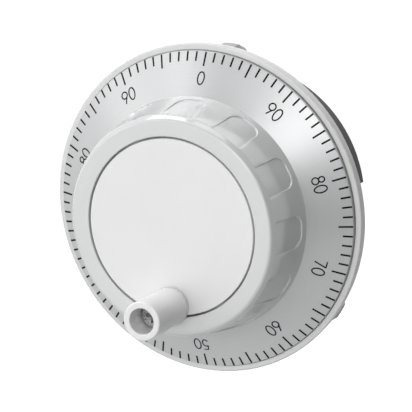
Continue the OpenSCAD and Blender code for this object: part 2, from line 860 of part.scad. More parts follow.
module spinner_screw() {
    head_h = spinner_step_h + 2 * spinner_play;
    color("silver") spinner_frame() difference() {
        union() {
            disc(spinner_thread_d / 2, knob_face_h - insert_l + 1, spinner_base_h);
            disc(shoulder_d / 2, spinner_base_h, head_h);
            disc(spinner_head_d / 2, head_h, head_h + spinner_head_h);
        }
        cross_recess(spinner_head_d * 0.66, head_h + spinner_head_h, 1.4);
    }
}

module spinner_grip() {
    base_h = spinner_base_h + spinner_play;
    base_r = spinner_base_d / 2;
    tip_r = spinner_tip_d / 2;
    color("white") spinner_frame() difference() {
        rotate_extrude() {
            polygon([[0, base_h], [base_r, base_h], [tip_r, spinner_tip_h - spinner_edge_r],
                [0, spinner_tip_h - spinner_edge_r]]);
            translate([0, spinner_tip_h - 2 * spinner_edge_r])
                square([tip_r - spinner_edge_r, 2 * spinner_edge_r]);
            translate([tip_r - spinner_edge_r, spinner_tip_h - spinner_edge_r])
                circle(r = spinner_edge_r);
        }
        disc(spinner_bore_d / 2, spinner_step_h, spinner_tip_h + cut);
        disc(shoulder_d / 2 + spinner_run, base_h - cut, spinner_tip_h);
    }
}

// ---------- encoder ----------

// A disc whose rim is cut by one open slot for each division
module code_disc_outline() {
    polygon([for (i = [0 : divisions - 1], corner = [0 : 3])
        let (r = corner == 0 || corner == 3 ? disc_r : disc_r - slot_l,
            share = corner < 2 ? 0 : 0.5,
            a = (i + share) * 360 / divisions)
        [r * cos(a), r * sin(a)]]);
}

module code_disc() {
    color("lightslategray") wheel_frame() translate([0, 0, disc_h - disc_t])
        linear_extrude(disc_t) difference() {
            code_disc_outline();
            circle(r = disc_collar_r);
        }
}

module disc_hub() {
    color("goldenrod") wheel_frame() difference() {
        union() {
            disc(disc_hub_d / 2, disc_h, disc_hub_h);
            disc(disc_collar_r, shaft_rear_h, disc_hub_h);
        }
        disc(shaft_rear_d / 2, shaft_rear_h - cut, disc_hub_h + cut);
        translate([0, 0, disc_h + disc_hub_t / 2]) rotate([0, 90, 0])
            cylinder(r = 0.75, h = disc_hub_d);
    }
}

module disc_clamp() {
    color("gray") wheel_frame() tube(disc_hub_d / 2 - 0.5, disc_collar_r,
        disc_h - disc_t - disc_clamp_t, disc_h - disc_t);
}

module disc_set_screw() {
    l = disc_hub_d / 2 - shaft_rear_d / 2 - 0.2;
    color("dimgray") wheel_frame() difference() {
        translate([shaft_rear_d / 2 - 0.3, 0, disc_h + disc_hub_t / 2]) rotate([0, 90, 0])
            cylinder(r = 0.75, h = l + 0.3);
        disc(shaft_rear_d / 2, shaft_rear_h, disc_hub_h);
    }
}

module circuit_board() {
    color("seagreen") body_frame() difference() {
        tube(board_r, board_bore_r, board_rear_h, -board_h);
        around(4, housing_screw_pcd / 2, 45) disc(pillar_r + 0.4, board_rear_h - cut, 0);
        around(3, board_screw_pcd / 2) disc(board_screw_r, board_rear_h - cut, 0);
        at_terminals(pin_drop) slab(-pin_w / 2, pin_w / 2, -pin_w / 2, pin_w / 2,
            board_rear_h - cut, 0);
    }
}

module board_screws() {
    color("silver") body_frame() around(3, board_screw_pcd / 2) rotate([180, 0, 0])
        cap_screw(board_screw_r, board_t + board_screw_bite, board_screw_head_r,
            board_screw_head_h, -board_rear_h);
}

module optical_sensor() {
    // a fork on the board's rear, whose slot lets the code disc's rim pass
    rear_h = disc_h - disc_t - sensor_gap - 2;
    color("dimgray") body_frame() difference() {
        slab(-sensor_w / 2, sensor_w / 2, sensor_in_r, sensor_out_r, rear_h, board_rear_h);
        slab(-sensor_w / 2 - cut, sensor_w / 2 + cut, sensor_in_r - cut, disc_r + 1,
            disc_h - disc_t - sensor_gap, disc_h + sensor_gap);
    }
}

module driver_chips() {
    color("black") body_frame() for (s = [-1, 1]) translate([s * chip_x, -s * chip_y, 0])
        slab(-chip_w / 2, chip_w / 2, -chip_l / 2, chip_l / 2,
            board_rear_h - chip_t, board_rear_h);
}

// ---------- housing ----------

module housing_shell_profile(r, depth, edge) {
    square([r, depth - edge]);
    square([r - edge, depth]);
    translate([r - edge, depth - edge]) circle(r = edge);
}

// A round cup standing behind the panel seat, with a rounded rear edge
module housing_cup(r, depth, edge) {
    mirror([0, 0, 1]) rotate_extrude() intersection() {
        housing_shell_profile(r, depth, edge);
        square([r, depth]);
    }
}

module housing() {
    plug_clear = 0.1;
    color("black") body_frame() difference() {
        union() {
            difference() {
                housing_cup(housing_r, housing_depth, housing_edge_r);
                difference() {
                    disc(housing_in_r, -housing_depth + housing_wall, cut);
                    // floor of the terminal deck and the wall above it
                    slab(-housing_r, housing_r, -housing_r, deck_step + housing_wall,
                        -housing_depth - cut, deck_in_h);
                }
                slab(-housing_r - cut, housing_r + cut, -housing_r - cut, deck_step,
                    -housing_depth - cut, -deck_depth);
                disc(housing_in_r, deck_in_h, cut);
            }
            intersection() {
                around(4, housing_screw_pcd / 2, 45) disc(pillar_r, deck_in_h - cut, 0);
                disc(housing_in_r + cut, deck_in_h - cut, 0);
            }
        }
        around(4, housing_screw_pcd / 2, 45)
            disc(housing_screw_r, -housing_screw_l, cut);
        // window for the terminal block's plug
        slab(-plug_w / 2 - plug_clear, plug_w / 2 + plug_clear,
            -pin_drop - plug_h / 2 - plug_clear, -pin_drop + plug_h / 2 + plug_clear,
            -deck_depth - cut, deck_in_h + cut);
    }
}

module housing_screws() {
    color("silver") body_frame() around(4, housing_screw_pcd / 2, 45)
        flush_screw(housing_screw_r, plate_t + housing_screw_l - 1,
            housing_screw_head_r, plate_t);
}

// ---------- terminals ----------

module at_terminals(drop) {
    for (i = [0 : terminal_count - 1])
        translate([(i - (terminal_count - 1) / 2) * terminal_pitch, -drop, 0]) children();
}

module terminal_block() {
    color("darkslategray") body_frame() difference() {
        union() {
            slab(-terminal_w / 2, terminal_w / 2, -pin_drop - plug_h / 2,
                -terminal_drop + terminal_l / 2 + 1, terminal_rear_h, -deck_depth);
            slab(-plug_w / 2, plug_w / 2, -pin_drop - plug_h / 2, -pin_drop + plug_h / 2,
                -deck_depth - cut, deck_in_h);
        }
        // one open channel for each terminal, from which the wire leaves downwards
        at_terminals(terminal_drop)
            slab(-terminal_channel_w / 2, terminal_channel_w / 2, -terminal_l,
                terminal_l / 2, terminal_rear_h - cut, terminal_floor_h);
        at_terminals(terminal_drop) disc(terminal_screw_r, terminal_floor_h - cut,
            -deck_depth - 0.4);
        at_terminals(pin_drop) slab(-pin_w / 2, pin_w / 2, -pin_w / 2, pin_w / 2,
            terminal_floor_h - cut, deck_in_h + cut);
    }
}

module terminal_clamps() {
    color("silver") body_frame() at_terminals(terminal_drop) difference() {
        slab(-terminal_channel_w / 2 + 0.15, terminal_channel_w / 2 - 0.15, -3, 3,
            terminal_floor_h - 2 * clamp_plate_t, terminal_floor_h - clamp_plate_t);
        disc(terminal_screw_r, terminal_rear_h - cut, 0);
    }
}

module terminal_screws() {
    head_h = terminal_floor_h - 2 * clamp_plate_t;
    color("silver") body_frame() at_terminals(terminal_drop) rotate([180, 0, 0])
        cap_screw(terminal_screw_r, terminal_screw_l, terminal_head_r,
            terminal_head_h, -head_h);
}

module terminal_pins() {
    foot = pin_drop - terminal_drop;
    color("gold") body_frame() at_terminals(terminal_drop) difference() {
        union() {
            // the contact bar under the clamp, and the leg that runs to the board
            slab(-terminal_channel_w / 2 + 0.15, terminal_channel_w / 2 - 0.15,
                -foot - pin_w / 2, 3.4, terminal_floor_h - clamp_plate_t, terminal_floor_h);
            slab(-pin_w / 2, pin_w / 2, -foot - pin_w / 2, -foot + pin_w / 2,
                terminal_floor_h - clamp_plate_t, -board_h + 0.6);
        }
        disc(terminal_screw_r, terminal_rear_h - cut, -deck_depth);
    }
}

flange();
panel_gasket();
mounting_studs();
mounting_nuts();
front_bearing_outer_race();
front_bearing_inner_race();
front_bearing_balls();
front_bearing_cage();
rear_bearing_outer_race();
rear_bearing_inner_race();
rear_bearing_balls();
rear_bearing_cage();
bearing_spacer();
retaining_ring();
shaft();
wheel_hub();
hub_set_screws();
dial_clamp_screws();
dial();
detent_ring();
knob();
knob_screws();
centre_cap();
spinner_insert();
spinner_washer();
spinner_screw();
spinner_grip();
detent_block();
detent_block_screws();
detent_ball();
detent_spring();
code_disc();
disc_hub();
disc_clamp();
disc_set_screw();
circuit_board();
board_screws();
optical_sensor();
driver_chips();
housing();
housing_screws();
terminal_block();
terminal_screws();
terminal_clamps();
terminal_pins();
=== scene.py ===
"""Looks of the pulse generator handwheel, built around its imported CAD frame.

The wheel's axis is Y and its front faces -Y. Below, h is a height in front of the panel,
and a polar angle is counted clockwise from the top, as the user sees the dial.
Sizes are in millimetres, and MM turns them into Blender's metres.
"""

import math

import bmesh
import bpy
import numpy as np
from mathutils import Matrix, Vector


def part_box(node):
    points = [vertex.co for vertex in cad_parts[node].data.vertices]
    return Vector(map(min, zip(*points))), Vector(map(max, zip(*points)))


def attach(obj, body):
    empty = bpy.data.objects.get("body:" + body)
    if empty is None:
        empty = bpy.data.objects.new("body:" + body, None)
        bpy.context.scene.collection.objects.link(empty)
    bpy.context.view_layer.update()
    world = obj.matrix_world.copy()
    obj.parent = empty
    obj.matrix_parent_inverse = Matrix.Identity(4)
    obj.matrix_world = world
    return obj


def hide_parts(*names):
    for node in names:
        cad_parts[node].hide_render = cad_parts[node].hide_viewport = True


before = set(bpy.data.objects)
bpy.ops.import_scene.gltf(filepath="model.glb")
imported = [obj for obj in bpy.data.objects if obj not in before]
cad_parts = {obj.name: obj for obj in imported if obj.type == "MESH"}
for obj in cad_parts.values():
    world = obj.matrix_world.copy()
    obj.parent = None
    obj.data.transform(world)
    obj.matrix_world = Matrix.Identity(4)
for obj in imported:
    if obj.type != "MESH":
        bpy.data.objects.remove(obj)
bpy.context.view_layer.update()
MM = 0.001


def mm_box(node):
    """A CAD node's lowest and highest corner in millimetres."""
    low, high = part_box(node)
    return np.array(low) / MM, np.array(high) / MM


# ---------- sizes, read from the frame ----------

DIAL_LOW, DIAL_HIGH = mm_box("dial")
KNOB_LOW, KNOB_HIGH = mm_box("knob")
CAP_LOW, CAP_HIGH = mm_box("centre_cap")
GRIP_LOW, GRIP_HIGH = mm_box("spinner_grip")
WASHER_LOW, WASHER_HIGH = mm_box("spinner_washer")

WHEEL_AXIS = (0.0, 0.0)
SPIN_AXIS = (0.0, (GRIP_LOW[2] + GRIP_HIGH[2]) / 2)

# The dial's cone falls from its web to a thin edge, with a groove below the edge's lip.
DIAL_R = DIAL_HIGH[0] + 0.08
DIAL_WEB_H = -DIAL_LOW[1]
DIAL_WEB_T = 1.25
DIAL_EDGE_H = 3.7
DIAL_EDGE_T = 1.0
DIAL_LIP = 0.14
DIAL_GROOVE = 0.3
DIAL_HOLE_R = 9.0

# The knob's neck and brow are the corners (r, h, fillet) of its rounded front edge.
KNOB_R = KNOB_HIGH[0]
KNOB_BASE_H = DIAL_WEB_H
KNOB_FACE_H = -KNOB_LOW[1]
KNOB_NECK = (26.84, KNOB_FACE_H - 1.5, 1.2)
KNOB_BROW = (25.9, KNOB_FACE_H, 0.95)
KNOB_WALL = 2.4
KNOB_FRONT_T = 2.0
KNOB_BOSS_R = 4.1
KNOB_WELL_R = KNOB_BOSS_R * 2

CAP_R = CAP_HIGH[0]
CAP_FACE_H = -CAP_LOW[1]
CAP_T = 1.6
CAP_SEAT_H = CAP_FACE_H - CAP_T
CAP_EDGE_R = 0.15
CAP_GAP = 0.15
CAP_GROOVE = 0.5
GROOVE_EDGE_R = 0.15
GROOVE_FLOOR_H = CAP_SEAT_H - 1.6

CONE_RUN = DIAL_R - KNOB_R
CONE_RISE = DIAL_WEB_H - DIAL_EDGE_H
CONE_ANGLE = math.atan2(CONE_RISE, CONE_RUN)

DIVISIONS = 100
LABELS = {0: "0", 10: "90", 20: "80", 30: "70", 40: "60", 50: "50"}


# ---------- mesh helpers ----------


def to_frame(axis, r, h, angle):
    """Points around an axis parallel to Y, at radius r, height h and polar angle."""
    x = axis[0] + r * np.sin(angle)
    z = axis[1] + r * np.cos(angle)
    return np.stack([x, -h + 0 * x, z], axis=-1)


def make_piece(name, points, faces, body, material, sharp=30):
    """A mesh piece in millimetre coordinates, which rides on a body."""
    mesh = bpy.data.meshes.new(name)
    mesh.from_pydata((np.asarray(points) * MM).tolist(), [], faces)
    turn_outwards(mesh)
    mesh.shade_smooth()
    mesh.set_sharp_from_angle(angle=math.radians(sharp))
    mesh.materials.append(material)
    piece = bpy.data.objects.new(name, mesh)
    bpy.context.scene.collection.objects.link(piece)
    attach(piece, body)
    return piece


def turn_outwards(mesh):
    """Makes the normals of a closed mesh face outwards."""
    work = bmesh.new()
    work.from_mesh(mesh)
    bmesh.ops.recalc_face_normals(work, faces=work.faces)
    work.to_mesh(mesh)
    work.free()


def grid_faces(rows, columns, wrap_rows=True, wrap_columns=True):
    """Quads of a grid of points stored row by row."""
    faces = []
    for i in range(rows if wrap_rows else rows - 1):
        for j in range(columns if wrap_columns else columns - 1):
            a = i * columns + j
            b = i * columns + (j + 1) % columns
            c = (i + 1) % rows * columns + (j + 1) % columns
            d = (i + 1) % rows * columns + j
            faces.append((a, b, c, d))
    return faces


def arc_points(centre, radius, start, end, count):
    """Points of an arc whose start and end are given in degrees."""
    angles = np.radians(np.linspace(start, end, count))
    return [(centre[0] + radius * math.cos(a), centre[1] + radius * math.sin(a)) for a in angles]


def rounded(corners, arc_steps=7, support=0.12):
    """A closed outline from corners (r, h, fillet), with rounds and points that hold the flats."""
    outline = []
    count = len(corners)
    for i, (r, h, fillet) in enumerate(corners):
        here = Vector((r, h))
        before = Vector(corners[i - 1][:2]) - here
        after = Vector(corners[(i + 1) % count][:2]) - here
        half = before.angle(after) / 2
        reach = fillet / math.tan(half)
        hold_before = min(reach + support, before.length * 0.45)
        hold_after = min(reach + support, after.length * 0.45)
        before.normalize()
        after.normalize()
        outline.append(here + before * hold_before)
        outline.extend(corner_arc(here, before, after, half, fillet, arc_steps))
        outline.append(here + after * hold_after)
    return [(p[0], p[1]) for p in outline]


def corner_arc(corner, before, after, half, fillet, steps):
    """The round of a corner between the directions before and after, half their angle apart."""
    if fillet == 0:
        return [corner]
    centre = corner + (before + after).normalized() * (fillet / math.sin(half))
    first = (corner + before * (fillet / math.tan(half))) - centre
    last = (corner + after * (fillet / math.tan(half))) - centre
    start = math.degrees(math.atan2(first.y, first.x))
    turn = math.degrees(math.atan2(last.y, last.x)) - start
    turn = (turn + 180) % 360 - 180
    return [Vector(p) for p in arc_points(centre, fillet, start, start + turn, steps)]


def lathe(name, outline, axis, body, material, steps=288, sharp=30):
    """A closed outline of (r, h) points, turned about an axis."""
    angles = np.arange(steps) * 2 * math.pi / steps
    rows = [to_frame(axis, r, h, angles) for r, h in outline]
    faces = grid_faces(len(outline), steps)
    return make_piece(name, np.concatenate(rows), faces, body, material, sharp)


# ---------- materials ----------

BUMP_REACH = 0.00002
COAT_ROUGHNESS = 0.06
RING_SCALE = 5000


class Nodes:
    """Short ways to add and join the nodes of one material."""

    def __init__(self, owner):
        owner.use_nodes = True
        self.material = owner
        self.tree = owner.node_tree
        self.shader = self.tree.nodes.get("Principled BSDF")

    def add(self, kind, **values):
        node = self.tree.nodes.new(kind)
        for key, value in values.items():
            setattr(node, key, value)
        return node

    def join(self, source, target):
        self.tree.links.new(source, target)

    def math(self, operation, a, b):
        """The result of a sum on two values, each a socket or a plain number."""
        node = self.add("ShaderNodeMath", operation=operation)
        for value, socket in ((a, node.inputs[0]), (b, node.inputs[1])):
            if isinstance(value, (int, float)):
                socket.default_value = value
            else:
                self.join(value, socket)
        return node.outputs["Value"]

    def coordinates(self):
        return self.add("ShaderNodeTexCoord").outputs["Object"]

    def noise(self, place, scale, detail=3.0):
        """Noise of a scale given in waves to the metre."""
        node = self.add("ShaderNodeTexNoise")
        node.inputs["Scale"].default_value = scale
        node.inputs["Detail"].default_value = detail
        self.join(place, node.inputs["Vector"])
        return node.outputs["Fac"]

    def spread(self, source, low, high):
        """The middle of a noise's range, spread from low to high."""
        node = self.add("ShaderNodeMapRange")
        node.inputs["From Min"].default_value = 0.3
        node.inputs["From Max"].default_value = 0.7
        node.inputs["To Min"].default_value = low
        node.inputs["To Max"].default_value = high
        self.join(source, node.inputs["Value"])
        return node.outputs["Result"]

    def tint(self, source, colour, change):
        """The colour, a little darker where source is low."""
        dark = [c * (1 - change) for c in colour]
        node = self.add("ShaderNodeMix", data_type="RGBA")
        colours = [s for s in node.inputs if s.type == "RGBA"]
        colours[0].default_value = (*dark, 1)
        colours[1].default_value = (*colour, 1)
        self.join(source, node.inputs[0])
        result = [s for s in node.outputs if s.type == "RGBA"][0]
        self.join(result, self.shader.inputs["Base Color"])

    def bump(self, source, strength):
        node = self.add("ShaderNodeBump")
        node.inputs["Strength"].default_value = strength
        node.inputs["Distance"].default_value = BUMP_REACH
        self.join(source, node.inputs["Height"])
        self.join(node.outputs["Normal"], self.shader.inputs["Normal"])


def plastic(name, colour, roughness, change=0.03, grain=9000, bump=0.04, coat=0.0,
            specular=0.45):
    """Moulded plastic: an even colour, a fine spark-eroded grain and soft gloss."""
    nodes = Nodes(bpy.data.materials.new(name))
    place = nodes.coordinates()
    broad = nodes.noise(place, 60)
    fine = nodes.noise(place, grain, 2.0)
    nodes.tint(nodes.spread(broad, 0.0, 1.0), colour, change)
    rough = nodes.spread(fine, roughness - 0.03, roughness + 0.03)
    nodes.join(rough, nodes.shader.inputs["Roughness"])
    nodes.bump(fine, bump)
    nodes.shader.inputs["Specular IOR Level"].default_value = specular
    nodes.shader.inputs["Coat Weight"].default_value = coat
    nodes.shader.inputs["Coat Roughness"].default_value = COAT_ROUGHNESS
    return nodes.material


def metal(name, colour, roughness, change=0.08, grain=2500, metallic=0.9, bump=0.05):
    """Machined or cast metal with faint patches and scratches."""
    nodes = Nodes(bpy.data.materials.new(name))
    place = nodes.coordinates()
    broad = nodes.noise(place, 150)
    fine = nodes.noise(place, grain, 4.0)
    nodes.tint(nodes.spread(broad, 0.0, 1.0), colour, change)
    rough = nodes.spread(fine, roughness - 0.06, roughness + 0.06)
    nodes.join(rough, nodes.shader.inputs["Roughness"])
    nodes.bump(fine, bump)
    nodes.shader.inputs["Metallic"].default_value = metallic
    return nodes.material


def spun_metal(name, colour, roughness, anisotropy, metallic):
    """Turned aluminium: fine rings about the wheel's axis stretch its highlights."""
    nodes = Nodes(bpy.data.materials.new(name))
    place = nodes.coordinates()
    radius = nodes.add("ShaderNodeVectorMath", operation="LENGTH")
    flat = nodes.add("ShaderNodeVectorMath", operation="MULTIPLY")
    flat.inputs[1].default_value = (1, 0, 1)
    nodes.join(place, flat.inputs[0])
    nodes.join(flat.outputs["Vector"], radius.inputs[0])
    rings = nodes.add("ShaderNodeTexNoise", noise_dimensions="1D")
    rings.inputs["Scale"].default_value = RING_SCALE
    rings.inputs["Detail"].default_value = 4.0
    nodes.join(radius.outputs["Value"], rings.inputs["W"])
    nodes.tint(nodes.spread(rings.outputs["Fac"], 0.0, 1.0), colour, 0.05)
    rough = nodes.spread(rings.outputs["Fac"], roughness - 0.03, roughness + 0.03)
    nodes.join(rough, nodes.shader.inputs["Roughness"])
    tangent = nodes.add("ShaderNodeTangent", direction_type="RADIAL", axis="Y")
    nodes.join(tangent.outputs["Tangent"], nodes.shader.inputs["Tangent"])
    nodes.shader.inputs["Metallic"].default_value = metallic
    nodes.shader.inputs["Anisotropic"].default_value = anisotropy
    nodes.shader.inputs["Anisotropic Rotation"].default_value = 0.25
    return nodes.material


FINISHES = {
    "rim_plastic": plastic("rim_plastic", (0.735, 0.74, 0.735), 0.4),
    "knob_plastic": plastic("knob_plastic", (0.695, 0.70, 0.705), 0.15, coat=0.8),
    "cap_plastic": plastic("cap_plastic", (0.86, 0.86, 0.86), 0.3),
    "grip_plastic": plastic("grip_plastic", (0.86, 0.86, 0.855), 0.28),
    "housing_plastic": plastic("housing_plastic", (0.014, 0.014, 0.014), 0.5, grain=5000, bump=0.15),
    "terminal_plastic": plastic("terminal_plastic", (0.03, 0.032, 0.03), 0.45),
    "sensor_plastic": plastic("sensor_plastic", (0.02, 0.02, 0.02), 0.5),
    "cage_plastic": plastic("cage_plastic", (0.5, 0.42, 0.28), 0.45),
    "acetal": plastic("acetal", (0.75, 0.74, 0.7), 0.4),
    "board_laminate": plastic("board_laminate", (0.02, 0.13, 0.06), 0.35, change=0.2),
    "black_rubber": plastic("black_rubber", (0.025, 0.025, 0.025), 0.75, grain=3000, bump=0.3),
    "spun_aluminium": spun_metal("spun_aluminium", (0.705, 0.71, 0.715), 0.38, 0.8, 0.55),
    "cast_aluminium": metal("cast_aluminium", (0.62, 0.62, 0.62), 0.5, grain=1500, bump=0.2),
    "zinc_plate": metal("zinc_plate", (0.27, 0.275, 0.28), 0.45),
    "turned_steel": metal("turned_steel", (0.55, 0.55, 0.56), 0.3),
    "bearing_steel": metal("bearing_steel", (0.6, 0.6, 0.61), 0.15, grain=4000, bump=0.02),
    "spring_steel": metal("spring_steel", (0.5, 0.5, 0.5), 0.3),
    "sintered_steel": metal("sintered_steel", (0.36, 0.36, 0.36), 0.55, grain=4000, bump=0.3),
    "etched_steel": metal("etched_steel", (0.45, 0.45, 0.46), 0.3),
    "brass": metal("brass", (0.72, 0.52, 0.22), 0.3),
}
INK = plastic("dial_ink", (0.012, 0.012, 0.013), 0.6, specular=0.15)


def finish_cad_nodes():
    """Gives every carried-over CAD node its procedural finish."""
    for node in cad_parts.values():
        for holder in node.material_slots:
            holder.material = FINISHES[holder.material.name.split(".")[0]]


# ---------- dial ----------


def make_dial():
    """The spun cone, seen between the knob and the rim."""
    web_rear = DIAL_WEB_H - DIAL_WEB_T
    rear_edge = DIAL_R - (web_rear - DIAL_EDGE_H + DIAL_EDGE_T) / math.tan(CONE_ANGLE)
    lip_h = DIAL_EDGE_H - DIAL_LIP
    groove_r = DIAL_R - DIAL_GROOVE
    outline = rounded([
        (DIAL_HOLE_R, web_rear, 0),
        (rear_edge, web_rear, 0.3),
        (DIAL_R, DIAL_EDGE_H - DIAL_EDGE_T, 0.05),
        (DIAL_R, lip_h - DIAL_GROOVE, 0.03),
        (groove_r, lip_h - DIAL_GROOVE, 0.03),
        (groove_r, lip_h, 0.03),
        (DIAL_R, lip_h, 0.03),
        (DIAL_R, DIAL_EDGE_H, 0.05),
        (KNOB_R, DIAL_WEB_H, 0),
        (DIAL_HOLE_R, DIAL_WEB_H, 0),
    ])
    dial = lathe("dial_cone", outline, WHEEL_AXIS, "wheel",
                 FINISHES["spun_aluminium"], steps=400, sharp=22)
    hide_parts("dial")


# ---------- spinner ----------

GRIP_BASE_R = 4.5
GRIP_TIP_R = GRIP_HIGH[0] - 0.1
GRIP_BORE_R = 3.15
GRIP_BORE_DEPTH = 8.2
GRIP_STEP_R = 2.06
WASHER_R = 4.65
SCREW_R = 1.5


def make_grip():
    """The spinner's handle, bored from its front for the screw's head."""
    front = -GRIP_LOW[1]
    base = -GRIP_HIGH[1]
    outline = rounded([
        (GRIP_STEP_R, base, 0),
        (GRIP_BASE_R, base, 0.15),
        (GRIP_TIP_R, front, 0.4),
        (GRIP_BORE_R, front, 0.18),
        (GRIP_BORE_R, front - GRIP_BORE_DEPTH, 0.1),
        (GRIP_STEP_R, front - GRIP_BORE_DEPTH, 0),
    ])
    grip = lathe("spinner_handle", outline, SPIN_AXIS, "spinner",
                 FINISHES["grip_plastic"], steps=128)
    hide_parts("spinner_grip")


def make_washer():
    """The thin ring between the knob's boss and the handle."""
    outline = rounded([
        (SCREW_R, -WASHER_HIGH[1], 0),
        (WASHER_R, -WASHER_HIGH[1], 0.1),
        (WASHER_R, -WASHER_LOW[1], 0.1),
        (SCREW_R, -WASHER_LOW[1], 0),
    ])
    washer = lathe("spinner_ring", outline, SPIN_AXIS, "wheel",
                   FINISHES["knob_plastic"], steps=96)
    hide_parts("spinner_washer")


# ---------- centre cap, with its bite for the spinner's boss ----------


def make_cap():
    bite_r = KNOB_BOSS_R + CAP_GAP
    throw = -SPIN_AXIS[1]
    meet = math.acos((CAP_R ** 2 + throw ** 2 - bite_r ** 2) / (2 * CAP_R * throw))
    outer = np.linspace(meet, 2 * math.pi - meet, 260)
    x = CAP_R * np.sin(outer)
    z = -CAP_R * np.cos(outer)
    end = math.atan2(x[-1], z[-1] + throw)
    inner = np.linspace(end, -end, 40)[1:-1]
    x = np.concatenate([x, bite_r * np.sin(inner)])
    z = np.concatenate([z, bite_r * np.cos(inner) - throw])
    cap = plate("cap_disc", x, z, CAP_SEAT_H, CAP_FACE_H, CAP_EDGE_R, "wheel", "cap_plastic")
    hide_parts("centre_cap")


def plate(name, x, z, low, high, edge, body, slot):
    """A flat plate with a softly rounded front edge, from its outline as seen from the front."""
    outline = np.stack([x, z], axis=-1)
    along = np.roll(outline, -1, axis=0) - np.roll(outline, 1, axis=0)
    along /= np.linalg.norm(along, axis=1)[:, None]
    area = np.sum(x * np.roll(z, -1) - z * np.roll(x, -1))
    inward = np.stack([-along[:, 1], along[:, 0]], axis=-1) * np.sign(area)
    steps = [(0, low), (0, high - edge)]
    for turn in (30, 60, 90):
        a = math.radians(turn)
        steps.append((edge * (1 - math.cos(a)), high - edge + edge * math.sin(a)))
    steps.append((edge + 0.1, high))
    rows = []
    for inset, h in steps:
        ring = outline + inward * inset
        rows.append(np.stack([ring[:, 0], 0 * ring[:, 0] - h, ring[:, 1]], axis=-1))
    count = len(outline)
    faces = grid_faces(len(steps), count, wrap_rows=False)
    faces.append(tuple(range(count)))
    last = (len(steps) - 1) * count
    faces.append(tuple(reversed(range(last, last + count))))
    return make_piece(name, np.concatenate(rows), faces, body, FINISHES[slot])


# ---------- knob with its finger recesses ----------

RECESS_COUNT = 12
RECESS_TURN = math.radians(0.6)
RECESS_W = 7.85
RECESS_CORNER_R = 2.8
RECESS_START = 1.75
RECESS_DEPTH = 0.34
RECESS_END = (26.68, KNOB_FACE_H - 1.32)
RECESS_EDGE = 0.11

# Steps between the knob's rows and columns, and how far the fine ones reach past an edge.
COARSE = 0.3
MEDIUM = 0.1
FINE = 0.035
FINE_REACH = 0.2


def recess_inside(u, v):
    """Distance inside a recess's outline, for u around the knob and v along its axis."""
    half = RECESS_W / 2
    low = RECESS_START + RECESS_CORNER_R
    du = np.maximum(np.abs(u) - (half - RECESS_CORNER_R), 0)
    dv = np.maximum(low - v, 0)
    corner = RECESS_CORNER_R - np.hypot(du, dv)
    return np.where(dv > 0, corner, half - np.abs(u))


def smooth(t):
    """A soft step from 0 to 1."""
    t = np.clip(t, 0, 1)
    return t * t * (3 - 2 * t)


def recess_depth(u, r, h):
    """How far a recess's floor lies below a point (r, h) of the knob's plain outside."""
    slope = (KNOB_R - KNOB_NECK[0]) / (KNOB_NECK[1] - KNOB_BASE_H)
    start_h = KNOB_BASE_H + RECESS_START
    start_r = KNOB_R - slope * RECESS_START - RECESS_DEPTH
    share = (h - start_h) / (RECESS_END[1] - start_h)
    floor_r = start_r + (RECESS_END[0] - start_r) * max(share, 0)
    return max(r - floor_r, 0) * smooth(recess_inside(u, h - KNOB_BASE_H) / RECESS_EDGE + 0.5)


def knob_columns():
    """Polar angles of the knob's columns, close together at the sides of each recess."""
    pitch = 2 * math.pi / RECESS_COUNT
    half = RECESS_W / 2
    near = list(np.arange(0.0, 1.2, COARSE))
    near += list(np.arange(1.2, half - FINE_REACH, MEDIUM))
    near += list(np.arange(half - FINE_REACH, half + FINE_REACH, FINE))
    gap = pitch * KNOB_R / 2
    near += list(np.linspace(half + 0.4, gap, 5))
    angles = []
    for i in range(RECESS_COUNT):
        middle = i * pitch + RECESS_TURN
        for u in near:
            angles.append((middle + u / KNOB_R, u))
        for u in near[1:-1]:
            angles.append((middle - u / KNOB_R, -u))
    angles.sort()
    return np.array([a for a, u in angles]), np.array([u for a, u in angles])


def between(first, last, shares):
    """Points on the line from first to last."""
    return [tuple(Vector(first).lerp(Vector(last), share)) for share in shares]


def round_at(before, corner, after, steps):
    """The rounded corner (r, h, fillet) between two neighbours."""
    here = Vector(corner[:2])
    back = (Vector(before[:2]) - here).normalized()
    on = (Vector(after[:2]) - here).normalized()
    return [tuple(p) for p in corner_arc(here, back, on, back.angle(on) / 2, corner[2], steps)]


def knob_rows():
    """Points (r, h) up the knob's side and over its front edge."""
    base = (KNOB_R, KNOB_BASE_H)
    neck = round_at(base, KNOB_NECK, KNOB_BROW, 9)
    brow = round_at(KNOB_NECK, KNOB_BROW, (CAP_R, KNOB_FACE_H), 14)
    fine = list(np.arange(RECESS_START - FINE_REACH, RECESS_START + FINE_REACH, FINE))
    corner_end = RECESS_START + RECESS_CORNER_R + FINE_REACH
    fine += list(np.arange(RECESS_START + 0.25, corner_end, MEDIUM))
    places = list(np.linspace(0, RECESS_START - 0.3, 6)) + fine
    side_h = neck[0][1] - KNOB_BASE_H
    places += list(np.linspace(fine[-1] + 0.4, side_h - 0.3, 8))
    rows = between(base, neck[0], np.array(places) / side_h) + neck
    return rows + between(neck[-1], brow[0], np.linspace(0.08, 0.92, 12)) + brow


